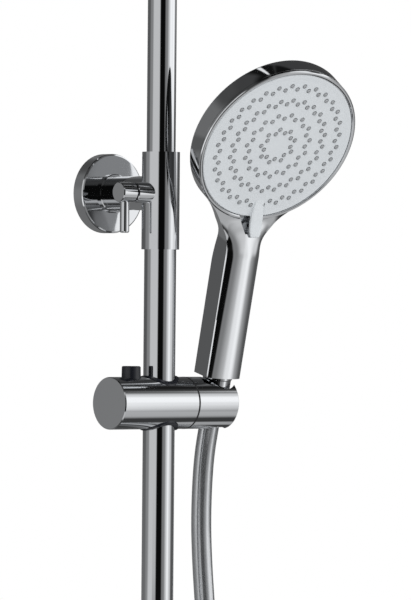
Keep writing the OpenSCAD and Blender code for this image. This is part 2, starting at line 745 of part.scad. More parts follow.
// Wedge-shaped pocket under the swing of the selector tab
module tab_pocket() {
    half_top = 0.5*tab_w + pocket_top*sin(tab_swing) + air;
    half_end = 0.15*half_top;
    at_face() translate([0, 0, -trim_depth]) linear_extrude(height = 30)
        polygon([[-half_top, -pocket_top], [half_top, -pocket_top], [half_end, -pocket_end], [-half_end, -pocket_end]]);
}

// Chrome ring around the face, open where the tab passes
module face_trim() {
    color(chrome) difference() {
        at_face() rotate_extrude() polygon([
            [trim_inner, -trim_depth + eps], [head_r, -trim_depth + eps], [head_r, trim_proud - 0.9],
            [head_r - 0.35, trim_proud - 0.25], [head_r - 1, trim_proud], [trim_inner + 0.8, trim_proud],
            [trim_inner + 0.2, trim_proud - 0.3], [trim_inner, trim_proud - 0.8]]);
        tab_pocket();
    }
}

// Place of each nozzle pair on the face
module nozzles() {
    for (k = [0:len(nozzle_counts) - 1], i = [0:nozzle_counts[k] - 1])
        rotate([0, 0, nozzle_phases[k] + 360*i/nozzle_counts[k]]) translate([(k + 1)*nozzle_pitch, 0, 0])
            for (s = [-1, 1]) translate([s*pair_dr/2, s*pair_dt/2, 0]) children();
}

// Face of the hand shower with the selector tab; the whole face turns
module face_plate() {
    color(white) at_face() rotate([0, 0, tab_swing]) difference() {
        union() {
            rotate_extrude() polygon([[0, -plate_t2], [plate_r, -plate_t2], [plate_r, trim_proud - 0.9],
                [plate_r - 0.5, trim_proud - 0.4], [plate_r - 1.6, trim_proud - 0.45], [plate_r - 4, 0], [0, 0]]);
            selector_tab();
        }
        rotate([0, 0, -tab_swing]) nozzles() translate([0, 0, -5]) cylinder(d = nozzle_d + 0.3, h = 8);
        translate([0, 0, -plate_t2 - 1]) cylinder(r = pivot_r + run_gap, h = 2.2);
    }
}

// Tapered ridge that grows out of the face and reaches over the neck
module selector_tab() {
    skin([for (t = tab_sections) each [[-t[0], -t[1], t[2]], [t[0], -t[1], t[2]], [t[0], -t[1], t[3]],
        [-t[0], -t[1], t[3]]]], 4);
}

// Soft mat behind the face, whose nozzles stand through it
pivot_r = 3;
module nozzle_mat() {
    color(grey) at_face() {
        difference() {
            translate([0, 0, -plate_t2 - mat_t]) cylinder(r = 4.35*nozzle_pitch, h = mat_t);
            translate([0, 0, -plate_t2 - mat_t - 1]) cylinder(r = pivot_r + 0.5, h = mat_t + 2);
        }
        nozzles() translate([0, 0, -plate_t2 - mat_t/2]) cylinder(d = nozzle_d, h = plate_t2 + mat_t/2 + nozzle_proud);
    }
}

// Pin that the face turns on, in the chamber's boss
chamber_top = -plate_t2 - mat_t - air;
module face_pivot() {
    color(brass) at_face() translate([0, 0, chamber_top - 5.9]) cylinder(r = pivot_r, h = 5.9 - chamber_top - plate_t2 + 1);
}

// Flat water chamber behind the nozzles, joined to the tube in the handle
chamber_r = 48;
chamber_base_r = chamber_r - 8;
chamber_bottom = -rim_t - 1.5;
module spray_chamber() {
    color(white) at_face() difference() {
        union() {
            translate([0, 0, chamber_bottom])
                cylinder(r1 = chamber_base_r, r2 = chamber_r, h = chamber_top - chamber_bottom);
            translate([0, 0, -head_depth + shell_wall + 0.5]) cylinder(r = 8, h = head_depth/2);
        }
        difference() {
            translate([0, 0, chamber_bottom + 2])
                cylinder(r1 = chamber_base_r - 2, r2 = chamber_r - 2, h = chamber_top - chamber_bottom);
            translate([0, 0, chamber_bottom]) cylinder(r = pivot_r + 2.5, h = chamber_top - chamber_bottom);
        }
        translate([0, 0, chamber_top - 6]) cylinder(r = pivot_r + fixed_gap, h = 7);
    }
}

// Inner tube that carries the water up the handle to the chamber
water_r = 3.4;
water_bottom = grip_start + 16;
water_top = head_up - chamber_r*cos(head_bend) - chamber_top*sin(head_bend) - 0.4;
module water_tube() {
    color(grey) in_hand() pipe(water_r, water_r - 1, water_bottom, water_top);
}

// Threaded inlet of the hand shower, pressed into the foot of the handle
module hand_connector() {
    r = thread_od/2;
    color(chrome) in_hand() rotate_extrude() polygon([
        [5.5, connector_end], [r - 0.5, connector_end], [r - 0.1, connector_end + 0.5], [r - 0.1, cone_top + 1],
        [r - 0.6, cone_top + 2], [r - 0.6, grip_start - 2], [r, grip_start - 1.4],
        [r, grip_start + 24.9], [water_r + fixed_gap, grip_start + 24.9], [water_r + fixed_gap, water_bottom],
        [5.5, water_bottom - 2]]);
}

module connector_seal() {
    color(black) in_hand() pipe(ferrule_flange_r, 5, ferrule_top + 0.1, connector_end - 0.1);
}

// Conical nut that screws on the hand shower and sits in the holder
module cone_nut() {
    color(chrome) in_hand() difference() {
        translate([0, 0, cone_bottom]) cylinder(r1 = cone_small_d/2, r2 = cone_d/2, h = cone_len);
        translate([0, 0, connector_end - 0.4]) cylinder(d = thread_od + 0.2, h = cone_len);
        translate([0, 0, ferrule_top - ferrule_flange_t - 0.2]) cylinder(r = ferrule_flange_r + air, h = ferrule_flange_t + 4);
        translate([0, 0, cone_bottom - 1]) cylinder(r = ferrule_r + run_gap, h = cone_len);
    }
}

// Crimped end of the hose that swivels inside the cone nut
module hose_ferrule() {
    color(brass) at_seat() difference() {
        union() {
            translate([0, 0, ferrule_end]) cylinder(r = ferrule_r, h = ferrule_top - ferrule_end);
            translate([0, 0, ferrule_top - ferrule_flange_t]) cylinder(r = ferrule_flange_r, h = ferrule_flange_t);
        }
        translate([0, 0, ferrule_end + 3]) cylinder(r = 4, h = ferrule_top - ferrule_end);
    }
}

// Hose from the hand shower down to its coil
module shower_hose() {
    color(grey) at_slider() tube(hose_route, hose_d/2, hose_sides);
}

// Spare length of the hose, wound into a hanging coil, with a straight end
module hose_coil() {
    color(grey) at_slider() tube(coil_path, hose_d/2, coil_sides, 30);
}

// Straps that hold the turns together, at the top and the bottom of the coil
tie_gap = 0.8;
tie_t = 1.2;
tie_w = 12;
module coil_ties() {
    color(black) at_slider() for (a = [90, 270]) let (c = coil_point(a + 360))
        translate(c) rotate([-a, 0, 0]) translate([0, 0, -tie_w/2]) linear_extrude(height = tie_w) difference() {
            slot_shape(hose_d/2 + tie_gap + tie_t);
            slot_shape(hose_d/2 + tie_gap);
        }
}

// Round-ended shape over the middles of the turns
module slot_shape(r) {
    square([2*coil_pitch, 2*r], center = true);
    for (s = [-1, 1]) translate([s*coil_pitch, 0]) circle(r = r);
}

module at_end() {
    at_slider() translate([coil_end_x, 0, end_z]) children();
}

module end_ferrule() {
    color(brass) at_end() translate([0, 0, -end_ferrule_len]) difference() {
        union() {
            cylinder(r = ferrule_r, h = end_ferrule_len);
            cylinder(r = ferrule_flange_r, h = ferrule_flange_t);
        }
        translate([0, 0, -1]) cylinder(r = 4, h = end_ferrule_len - 2);
    }
}

// Hexagonal swivel nut on the free end of the hose
end_thread = 8.5;
end_nut_low = -end_ferrule_len - 11;
module end_nut() {
    color(chrome) at_end() difference() {
        translate([0, 0, end_nut_low]) cylinder(d = 24/cos(30), h = end_nut_len, $fn = 6);
        translate([0, 0, end_nut_low - 1]) cylinder(d = thread_id, h = end_thread + 2);
        translate([0, 0, end_nut_low + end_thread]) cylinder(r = ferrule_flange_r + 1.2, h = end_nut_len - 3 - end_thread);
        translate([0, 0, end_nut_low]) cylinder(r = ferrule_r + run_gap, h = end_nut_len + 1);
    }
}

module end_washer() {
    color(black) at_end() pipe(ferrule_flange_r, 5, -end_ferrule_len - 2.1, -end_ferrule_len - 0.1);
}

// Least gap between the hose's turns, and what the coil comes to
echo(least_gap_of_coil_to_itself = self_gap, coil_radius = coil_r, free_stretch = free_len);

wall_plate();
flange_cover();
riser_bracket();
grub_screw();
lower_tube();
tube_bush();
inlet_adapter();
inlet_nut();
inlet_washer();
seal_plug();
seal_rings();
upper_tube();
outlet_adapter();
clamp_shoe();
lock_screw();
lock_knob();
lever_pin();
slider_bush();
slider_body();
slider_end_cap();
bush_rings();
brake_pad();
pad_spring();
release_button();
button_spring();
friction_ring();
axle_screw();
axle_washer();
holder();
rear_shell();
front_cover();
face_trim();
face_plate();
nozzle_mat();
face_pivot();
spray_chamber();
water_tube();
hand_connector();
connector_seal();
cone_nut();
hose_ferrule();
shower_hose();
hose_coil();
coil_ties();
end_ferrule();
end_nut();
end_washer();
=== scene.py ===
"""Shower set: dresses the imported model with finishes, smooth hand shower shells, nozzles and hose."""

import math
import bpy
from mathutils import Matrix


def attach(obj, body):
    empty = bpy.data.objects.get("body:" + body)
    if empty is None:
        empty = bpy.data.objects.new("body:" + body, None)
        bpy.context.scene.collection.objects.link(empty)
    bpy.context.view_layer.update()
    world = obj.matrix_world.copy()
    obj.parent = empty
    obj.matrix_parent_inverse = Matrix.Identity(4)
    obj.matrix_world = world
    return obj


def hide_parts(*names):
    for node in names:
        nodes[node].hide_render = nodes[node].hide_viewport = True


bl_info = {
    "name": "Shower Set",
    "version": (1, 0, 0),
    "blender": (4, 5, 0),
    "location": "3D View > Sidebar > Shower Set",
    "description": "Adds the fine pieces, finishes, camera and studio of a wall shower set",
    "category": "Add Mesh",
}

import bmesh
import bpy
from bpy.props import FloatProperty, FloatVectorProperty, IntProperty, PointerProperty
from mathutils import Matrix, Vector

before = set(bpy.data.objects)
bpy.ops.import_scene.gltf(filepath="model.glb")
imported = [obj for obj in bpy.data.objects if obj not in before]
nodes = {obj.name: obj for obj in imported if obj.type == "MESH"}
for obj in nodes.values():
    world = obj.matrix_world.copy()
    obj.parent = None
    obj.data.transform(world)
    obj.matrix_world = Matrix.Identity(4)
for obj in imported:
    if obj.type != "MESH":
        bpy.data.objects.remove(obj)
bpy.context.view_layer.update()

MM = 0.001

# Places that the hose, the handle and the face share with the solids, in millimetres and degrees
RISER_OFF = 61.0
SLIDER_DROP = 144.4
SEAT_X = 49.0
HAND_LEAN = 13.4
HAND_TURN = -7.2
HEAD_UP = 188.0
HEAD_FWD = 26.7
HEAD_BEND = 19.8
HEAD_R = 60.0
RIM_T = 13.75
HEAD_DEPTH = 22.25
TRIM_DEPTH = 2.0
FLARE_R = 52.0
FLARE_LAG = 7.0
FLARE_SOFT = 18.0
GRIP_START = 19.5
GRIP_HALF = 13.8
GRIP_BACK = 9.8
GRIP_SWELL = 1.3
GRIP_EDGE = 7.2
GRIP_CORNER = 1.6
BEVEL_TURN = 16.3
ROUNDING = 0.62
NECK_CROWN = 1.3
BLEND_LEAD = 6.0
NECK_U = 103.6
NECK_END_V = 38.0
SCOOP_END = 135.6
SEAM_Z = 0.3
TAB_SWING = 4.6
POCKET_TOP = 56.0
POCKET_END = 69.0

# Slider and the seam beside its holder
SLIDER_R = 18.0
SEAM_START = 21.42
SEAM_END = 22.38

# Hose: its whole length, the height where the free stretch ends, and the coil that puts the rest away
HOSE_LENGTH = 1600.0
FREE_END = 234.0
COIL_TURNS = 3
COIL_PITCH = 14.8
COIL_LEAD = 14.0
COIL_EXIT = 7.5
COIL_EXIT_TURN = 88

# Height of the floor: below the coiled hose at the slider's lowest place
FLOOR_Z = -770.0

# Frame of the picture: its height and middle, and where the slider's middle shows, in picture points
PICTURE_HEIGHT = 600
PICTURE_MIDDLE = (205.5, 300)
SLIDER_SPOT = (158.9, 403)
SENSOR = 36

# Nozzles: pairs on each ring, from the inmost, and the turn of its first pair in degrees
NOZZLE_RINGS = ((9, 12.7), (15, 8.6), (24, 13.9), (30, 11.6))

# Selector tab from its start to its tip: share of the width, distance from the face's middle, lower and
# upper height
TAB_ROWS = (
    (0.62, 43.4, -0.9, -0.05),
    (0.73, 44.8, -0.9, 0.2),
    (0.8, 47.5, -0.9, 0.8),
    (0.91, 51, -0.9, 1.7),
    (1, 55.5, -0.9, 2.8),
    (1, 57.3, 0.95, 3.3),
    (1, 61, 1.75, 4.2),
    (0.985, 64.5, 3.1, 5.4),
    (0.91, 67.5, 4.3, 6.6),
    (0.76, 69.6, 5.2, 7.15),
)

# Lamps and dark cloths of the studio: turn from the camera's side in degrees, from and to, then height
# from and to, how soft the upright and level edges are, and brightness. Each covers those before it.
LAMPS = (
    (-180, -66, -60, 38, 30, 16, 0.18),
    (-180, -92, 36, 68, 20, 14, 0.075),
    (-152, -106, -3, 6, 12, 3, 0.115),
    (-100, -58, -44, 12, 16, 14, 0.28),
    (44, 104, -78, -24, 16, 6, 0.5),
    (-30, 22, -76, -25, 12, 6, 0.6),
    (30, 122, -27, 20, 12, 8, 0.2),
    (30, 100, -27, 20, 12, 8, 0.25),
    (55, 88, -30, 30, 28, 22, 0.66),
    (56, 104, -8, 30, 20, 10, 0.8),
    (68, 82, -30, 30, 13, 22, 1.16),
    (72, 94, 2, 20, 10, 8, 1.2),
    (-72, -13, -7, 34, 14, 6, 0.66),
    (-38, 29, -26, -6, 6, 5, 0.004),
    (-12, 25, -8, 34, 5, 8, 0.004),
    (116, 156, 4, 34, 10, 5, 0.36),
    (104, 150, -38, -25, 14, 5, 0.48),
    (106, 152, -24, -4, 14, 5, 0.11),
    (116, 150, -4, 3, 6, 2, 0.11),
    (110, 134, -54, -44, 8, 6, 0.05),
    (134, 156, -52, -36, 6, 6, 0.42),
    (95, 119, 1, 36, 6, 5, 1.22),
    (20, 60, 49, 57, 10, 4, 0.4),
    (58, 98, 44, 52, 8, 4, 1.0),
    (98, 134, 42, 62, 6, 5, 0.015),
    (-82, -40, -30, -6, 8, 5, 1.0),
    (-180, 180, 60, 95, 10, 5, 0.008),
    (-136, -80, 54, 72, 16, 8, 0.06),
    (-161, -154, 62, 76, 2, 3, 1.0),
)
ROOM_LEVEL = 0.055
ROOM_R = 6000.0


# Sizes and colours that a user would change
class ViewSettings(bpy.types.PropertyGroup):
    azimuth: FloatProperty(
        name="Azimuth",
        description="Direction that the camera looks from, 0 is square to the wall",
        default=math.radians(-40.7),
        unit="ROTATION",
    )
    distance: FloatProperty(
        name="Distance",
        description="Distance from the camera to the slider",
        default=4.0,
        min=1.0,
        unit="LENGTH",
    )
    roll: FloatProperty(
        name="Roll",
        description="Tilt of the picture's upright",
        default=math.radians(0.5),
        unit="ROTATION",
    )
    scale: FloatProperty(
        name="Scale",
        description="Picture points that a metre takes at the slider",
        default=1454.5,
        min=100.0,
    )


class HandShowerSizes(bpy.types.PropertyGroup):
    crown: FloatProperty(
        name="Crown",
        description="Height of the rounded front over the flat sides",
        default=0.0034,
        min=0.001,
        unit="LENGTH",
    )
    nozzle: FloatProperty(
        name="Nozzle",
        description="Diameter of one nozzle",
        default=0.0032,
        min=0.002,
        max=0.0034,
        unit="LENGTH",
    )
    nozzle_height: FloatProperty(
        name="Nozzle height",
        description="Height of the nozzles over the face",
        default=0.0009,
        min=0.0003,
        unit="LENGTH",
    )
    ring_spacing: FloatProperty(
        name="Ring spacing",
        description="Distance between the rings of nozzles",
        default=0.01167,
        min=0.008,
        unit="LENGTH",
    )
    tab_width: FloatProperty(
        name="Tab width",
        description="Width of the selector tab",
        default=0.009,
        min=0.006,
        max=0.012,
        unit="LENGTH",
    )


class SliderSizes(bpy.types.PropertyGroup):
    seam_lip: FloatProperty(
        name="Seam lip",
        description="Reach of the seam ring's lip over either edge",
        default=0.00025,
        min=0.00005,
        max=0.0005,
        unit="LENGTH",
    )


class HoseSizes(bpy.types.PropertyGroup):
    diameter: FloatProperty(
        name="Diameter",
        description="Outside diameter of the hose",
        default=0.014,
        min=0.012,
        unit="LENGTH",
    )
    sides: IntProperty(
        name="Sides",
        description="Faces around the hose",
        default=32,
        min=12,
        max=64,
    )


class FinishColours(bpy.types.PropertyGroup):
    chrome: FloatVectorProperty(
        name="Chrome",
        description="Colour of the chrome plating",
        default=(0.74, 0.75, 0.765),
        min=0.0,
        max=1.0,
        subtype="COLOR",
    )
    face: FloatVectorProperty(
        name="Face",
        description="Colour of the spray face",
        default=(0.72, 0.745, 0.765),
        min=0.0,
        max=1.0,
        subtype="COLOR",
    )
    nozzle: FloatVectorProperty(
        name="Nozzle",
        description="Colour of the soft nozzles",
        default=(0.42, 0.43, 0.44),
        min=0.0,
        max=1.0,
        subtype="COLOR",
    )
    dark: FloatVectorProperty(
        name="Dark plastic",
        description="Colour of the button and the rings",
        default=(0.011, 0.012, 0.017),
        min=0.0,
        max=1.0,
        subtype="COLOR",
    )
    hose: FloatVectorProperty(
        name="Hose",
        description="Colour of the metal-look hose",
        default=(0.62, 0.63, 0.645),
        min=0.0,
        max=1.0,
        subtype="COLOR",
    )


# Shape helpers, in millimetres
def lerp(a, b, t):
    return a + (b - a) * t


def ease(t):
    """Smooth step from 0 to 1."""
    t = min(1.0, max(0.0, t))
    return t * t * (3 - 2 * t)


def seat_matrix():
    place = Matrix.Translation((SEAT_X, -RISER_OFF, -SLIDER_DROP))
    return place @ Matrix.Rotation(math.radians(HAND_LEAN), 4, "X")


def hand_matrix():
    return seat_matrix() @ Matrix.Rotation(math.radians(HAND_TURN), 4, "Z")


def face_matrix():
    out = Matrix.Translation((0, -HEAD_FWD, HEAD_UP))
    return hand_matrix() @ out @ Matrix.Rotation(math.radians(HEAD_BEND + 90), 4, "X")


def add_piece(name, verts, faces, matrix=None, sharp=35.0):
    """Makes an object from points in millimetres, with smooth faces that break at sharp edges."""
    mesh = bpy.data.meshes.new(name)
    matrix = matrix or Matrix.Identity(4)
    mesh.from_pydata([(matrix @ Vector(v)) * MM for v in verts], [], faces)
    mesh.validate()
    obj = bpy.data.objects.new(name, mesh)
    bpy.context.scene.collection.objects.link(obj)
    tidy_normals(obj, sharp)
    return obj


def tidy_normals(obj, sharp):
    """Joins doubled points, turns the faces outwards and keeps the sharp edges sharp."""
    work = bmesh.new()
    work.from_mesh(obj.data)
    bmesh.ops.remove_doubles(work, verts=work.verts, dist=1e-6)
    bmesh.ops.recalc_face_normals(work, faces=work.faces)
    work.to_mesh(obj.data)
    work.free()
    obj.data.shade_smooth()
    obj.data.set_sharp_from_angle(angle=math.radians(sharp))


def skin(rings):
    """Points and faces of a closed skin through rings of equal count."""
    count = len(rings[0])
    verts = [p for ring in rings for p in ring]
    faces = []
    for i in range(len(rings) - 1):
        for k in range(count):
            a, b = i * count + k, i * count + (k + 1) % count
            faces.append((a, b, b + count, a + count))
    faces.append(tuple(reversed(range(count))))
    faces.append(tuple(range((len(rings) - 1) * count, len(rings) * count)))
    return verts, faces


def turned(profile, steps=96):
    """Rings of a profile of radius and height turned about Z; a radius of 0 closes it."""
    verts, faces, rows = [], [], []
    for radius, height in profile:
        if radius < 1e-6:
            rows.append([len(verts)])
            verts.append((0, 0, height))
            continue
        rows.append(list(range(len(verts), len(verts) + steps)))
        for k in range(steps):
            a = 2 * math.pi * k / steps
            verts.append((radius * math.cos(a), radius * math.sin(a), height))
    for low, high in zip(rows, rows[1:]):
        for k in range(steps):
            j = (k + 1) % steps
            if len(low) == 1:
                faces.append((low[0], high[j], high[k]))
            elif len(high) == 1:
                faces.append((low[k], low[j], high[0]))
            else:
                faces.append((low[k], low[j], high[j], high[k]))
    return verts, faces


def moved(part, matrix):
    return [tuple(matrix @ Vector(v)) for v in part[0]], part[1]


def joined(parts):
    verts, faces = [], []
    for part_verts, part_faces in parts:
        start = len(verts)
        verts.extend(part_verts)
        faces.extend(tuple(i + start for i in face) for face in part_faces)
    return verts, faces


def cut_with(obj, verts, faces, matrix):
    """Takes the shape of a cutter out of an object."""
    cutter = add_piece("cutter", verts, faces, matrix)
    cut = obj.modifiers.new("cut", "BOOLEAN")
    cut.object = cutter
    cut.operation = "DIFFERENCE"
    cut.solver = "EXACT"
    bpy.context.view_layer.update()
    graph = bpy.context.evaluated_depsgraph_get()
    done = bpy.data.meshes.new_from_object(obj.evaluated_get(graph))
    obj.modifiers.clear()
    old = obj.data
    obj.data = done
    bpy.data.meshes.remove(old)
    bpy.data.objects.remove(cutter)
    return obj


# Outline of the hand shower, as wide and as deep as the solids. Heights u run along the handle, and v along
# the face from its middle down.
def flare_v():
    side = GRIP_HALF + FLARE_R
    return math.sqrt((HEAD_R + FLARE_R) ** 2 - side**2)


def join_v():
    return flare_v() * HEAD_R / (HEAD_R + FLARE_R)


def height_at(v):
    return HEAD_UP + v * math.cos(math.radians(HEAD_BEND))


def half_width(u):
    """Half the handle's width, with its flare into the round head."""
    level = math.cos(math.radians(HEAD_BEND))
    v = (HEAD_UP - u) / level
    if v >= flare_v():
        return GRIP_HALF
    if v >= join_v():
        late = ease(((flare_v() - v) * level - FLARE_LAG) / FLARE_SOFT)
        return GRIP_HALF + (FLARE_R - math.sqrt(FLARE_R**2 - (flare_v() - v) ** 2)) * late
    under_trim, fade = 1.2, 6
    return math.sqrt(HEAD_R**2 - v**2) - under_trim * ease((join_v() - v) / fade)


def front_depth(u, crown):
    """Front's middle line: level along the handle, then one hollow sweep up to the trim."""
    slope = math.tan(math.radians(HEAD_BEND))
    crest = GRIP_EDGE + crown
    seam = HEAD_FWD + SEAM_Z - (HEAD_UP - max(u, SCOOP_END)) * slope
    if u < NECK_U or u >= SCOOP_END:
        return crest if u < NECK_U else seam
    t = (u - NECK_U) / (SCOOP_END - NECK_U)
    return lerp(crest, seam, ease(t)) + (t**3 - t**2) * slope * (SCOOP_END - NECK_U)


def crown_height(u, crown):
    if u < NECK_U:
        return lerp(crown, crown + 1, (u - GRIP_START) / (NECK_U - GRIP_START))
    return lerp(crown + 1, NECK_CROWN, ease((u - NECK_U) / (SCOOP_END - NECK_U)))


def edge_depth(u, crown):
    return front_depth(u, crown) - crown_height(u, crown)


def blend_at(u):
    """Share of the head's form in the back of the neck."""
    start, end = NECK_U - BLEND_LEAD, height_at(-NECK_END_V)
    return ease((u - start) / (end - start))


def back_depth(u, inset, end):
    grip = GRIP_BACK + GRIP_SWELL * min(1, (u - GRIP_START) / (NECK_U - GRIP_START)) - inset
    return lerp(grip, end, blend_at(u))


def rear_outline(u, crown, corner_steps=14):
    """Back of the handle: level sides and a flat back that rounds over into the head's dome."""
    bend = math.radians(HEAD_BEND)
    rise = (HEAD_UP - height_at(-NECK_END_V)) * math.tan(bend)
    back = back_depth(u, 0, HEAD_DEPTH * math.cos(bend) - HEAD_FWD + rise - 2)
    side = back_depth(u, GRIP_CORNER, RIM_T * math.cos(bend) - HEAD_FWD + rise + 2)
    front = edge_depth(u, crown)
    half = half_width(u)
    rear_half = half_width(u - (front + side) * math.tan(bend))
    corner = min(lerp(GRIP_CORNER, half, blend_at(u)), rear_half)
    points = [(half, -front)]
    for start, middle in ((0, rear_half - corner), (90, corner - rear_half)):
        for i in range(corner_steps + 1):
            a = math.radians(start + 90 * i / corner_steps)
            points.append((middle + corner * math.cos(a), side + (back - side) * math.sin(a)))
    points.append((-half, -front))
    return [(x, y, u) for x, y in points]


def front_outline(u, crown, curve=24, slack_start=30, slack_run=24, rounded_share=0.92):
    """Front of the handle: a narrow bevel along each edge and a rounding, which slackens up the neck."""
    half, edge, high = half_width(u), edge_depth(u, crown), crown_height(u, crown)
    neck = ease((u - SCOOP_END + slack_start) / slack_run)
    steps = [(0, 0)]
    for i in range(curve + 1):
        near = 1 - math.cos(math.radians(lerp(BEVEL_TURN, 90, i / curve)))
        rounded = (1 - (1 - near) ** 2) ** ROUNDING
        slack = 1 - 0.5 * (1 - near) ** 5 - 0.5 * (1 - near)
        steps.append((rounded_share * half * near, lerp(rounded, slack, neck)))
    steps.append((half, 1))
    left = [(inward - half, -edge - high * share, u) for inward, share in steps]
    return left + [(-x, y, z) for x, y, z in reversed(left[:-1])]


def pocket(half_tab):
    """Wedge under the swing of the selector tab."""
    half_top = half_tab + POCKET_TOP * math.sin(math.radians(TAB_SWING)) + 0.3
    half_end = 0.15 * half_top
    left = [(-half_top, -POCKET_TOP), (-half_end, -POCKET_END)]
    outline = left + [(-x, y) for x, y in reversed(left)]
    return skin([[(x, y, z) for x, y in outline] for z in (-TRIM_DEPTH, 30)])


def stations(start, end, count):
    """Even steps from start to end, both included."""
    return [lerp(start, end, i / count) for i in range(count + 1)]


# Route of the hose, in millimetres from the slider's middle, as in the solids
def free_route():
    """From the cone, in line with the seat, and down beside the riser."""
    lean = math.radians(HAND_LEAN)
    start = [(SEAT_X, s * math.sin(lean), -s * math.cos(lean)) for s in (15.5, 31.5)]
    hang = [(9.6, -46), (11, -66), (11.2, -88), (9.7, -112), (7.2, -136), (4.4, -160), (1.7, -184), (0, -209)]
    return [Vector(p) for p in start + [(SEAT_X, y, z) for y, z in hang] + [(SEAT_X, 0, -FREE_END)]]


def coil_route(route, points_a_turn=24):
    """Turns side by side that take up the length left over, and the short end beside them."""
    free = sum((b - a).length for a, b in zip(route, route[1:]))
    turn = (HOSE_LENGTH - free - 2 * COIL_LEAD) / COIL_TURNS
    radius = math.sqrt(turn**2 - COIL_PITCH**2) / (2 * math.pi)
    points = []
    for i in range(COIL_TURNS * points_a_turn + 1):
        a = 360 * i / points_a_turn
        x = SEAT_X + COIL_PITCH * a / 360 + COIL_EXIT * ease((a - 360 * COIL_TURNS) / COIL_EXIT_TURN + 1)
        r = math.radians(a)
        points.append(Vector((x, radius * (math.cos(r) - 1), -FREE_END - COIL_LEAD - radius * math.sin(r))))
    points.append(Vector((SEAT_X + COIL_TURNS * COIL_PITCH + COIL_EXIT, 0, -FREE_END - 2 * COIL_LEAD)))
    return points


def smooth_route(points, steps):
    """A curve through the points, with steps between each two."""
    out = []
    last = len(points) - 1
    for i in range(last):
        p0, p1, p2, p3 = points[max(i - 1, 0)], points[i], points[i + 1], points[min(i + 2, last)]
        for k in range(steps):
            t = k / steps
            out.append(
                0.5
                * (
                    2 * p1
                    + (p2 - p0) * t
                    + (2 * p0 - 5 * p1 + 4 * p2 - p3) * t * t
                    + (3 * p1 - p0 - 3 * p2 + p3) * t**3
                )
            )
    return out + [points[-1]]


def hose_rings(path, radius, sides):
    """Round sections square to the path."""
    rings = []
    for i, point in enumerate(path):
        ahead = (path[min(i + 1, len(path) - 1)] - path[max(i - 1, 0)]).normalized()
        side = ahead.cross(Vector((1, 0, 0))).normalized()
        up = ahead.cross(side)
        ring = []
        for k in range(sides):
            a = 2 * math.pi * k / sides
            ring.append(tuple(point + radius * (math.cos(a) * side + math.sin(a) * up)))
        rings.append(ring)
    return rings


# Materials
def new_material(name):
    """A material with one empty shader, the same one if the name is there already."""
    material = bpy.data.materials.get(name)
    if material is None:
        material = bpy.data.materials.new(name)
    material.use_nodes = True
    tree = material.node_tree
    tree.nodes.clear()
    output = tree.nodes.new("ShaderNodeOutputMaterial")
    shader = tree.nodes.new("ShaderNodeBsdfPrincipled")
    tree.links.new(shader.outputs["BSDF"], output.inputs["Surface"])
    return material, tree, shader


def add_noise(tree, scale, detail, stretch=(1, 1, 1)):
    """Noise over the piece's own coordinates, in metres."""
    place = tree.nodes.new("ShaderNodeTexCoord")
    mapping = tree.nodes.new("ShaderNodeMapping")
    mapping.inputs["Scale"].default_value = stretch
    noise = tree.nodes.new("ShaderNodeTexNoise")
    noise.inputs["Scale"].default_value = scale
    noise.inputs["Detail"].default_value = detail
    tree.links.new(place.outputs["Object"], mapping.inputs["Vector"])
    tree.links.new(mapping.outputs["Vector"], noise.inputs["Vector"])
    return noise


def add_range(tree, source, low, high, begin=0.3, end=0.7):
    """Spreads a noise between a low and a high value."""
    spread = tree.nodes.new("ShaderNodeMapRange")
    spread.inputs["From Min"].default_value = begin
    spread.inputs["From Max"].default_value = end
    spread.inputs["To Min"].default_value = low
    spread.inputs["To Max"].default_value = high
    tree.links.new(source, spread.inputs["Value"])
    return spread.outputs["Result"]


def add_relief(tree, shader, source, depth, distance=0.00002):
    """Bump from a noise, up to a distance in metres."""
    relief = tree.nodes.new("ShaderNodeBump")
    relief.inputs["Strength"].default_value = depth
    relief.inputs["Distance"].default_value = distance
    tree.links.new(source, relief.inputs["Height"])
    tree.links.new(relief.outputs["Normal"], shader.inputs["Normal"])


def add_tints(tree, shader, source, low, high):
    ramp = tree.nodes.new("ShaderNodeValToRGB")
    ramp.color_ramp.elements[0].position = 0.3
    ramp.color_ramp.elements[0].color = (*low, 1)
    ramp.color_ramp.elements[1].position = 0.7
    ramp.color_ramp.elements[1].color = (*high, 1)
    tree.links.new(source, ramp.inputs["Fac"])
    tree.links.new(ramp.outputs["Color"], shader.inputs["Base Color"])


def plated(name, colour, low, high, relief=0.02):
    """Chrome plating: bright, with faint clouding and a trace of the polished metal below."""
    material, tree, shader = new_material(name)
    shader.inputs["Base Color"].default_value = (*colour, 1)
    shader.inputs["Metallic"].default_value = 1.0
    cloud = add_noise(tree, 60, 3)
    tree.links.new(add_range(tree, cloud.outputs["Fac"], low, high), shader.inputs["Roughness"])
    fine = add_noise(tree, 900, 2, (1, 1, 0.25))
    add_relief(tree, shader, fine.outputs["Fac"], relief)
    return material


def moulded(name, colour, rough, variation=0.05, grain=1400, relief=0.06, specular=0.5):
    """Moulded plastic: a slight cloud in the colour and a fine skin."""
    material, tree, shader = new_material(name)
    shader.inputs["Specular IOR Level"].default_value = specular
    cloud = add_noise(tree, 40, 4)
    low = tuple(c * (1 - variation) for c in colour)
    high = tuple(min(1, c * (1 + variation)) for c in colour)
    add_tints(tree, shader, cloud.outputs["Fac"], low, high)
    fine = add_noise(tree, grain, 2).outputs["Fac"]
    tree.links.new(add_range(tree, fine, rough * 0.85, rough * 1.15), shader.inputs["Roughness"])
    add_relief(tree, shader, fine, relief)
    return material


def machined(name, colour, rough, stretch):
    """Turned or drawn metal with fine lines."""
    material, tree, shader = new_material(name)
    shader.inputs["Metallic"].default_value = 1.0
    lines = add_noise(tree, 500, 3, stretch).outputs["Fac"]
    low = tuple(c * 0.88 for c in colour)
    add_tints(tree, shader, lines, low, colour)
    tree.links.new(add_range(tree, lines, rough * 0.8, rough * 1.3), shader.inputs["Roughness"])
    add_relief(tree, shader, lines, 0.15)
    return material


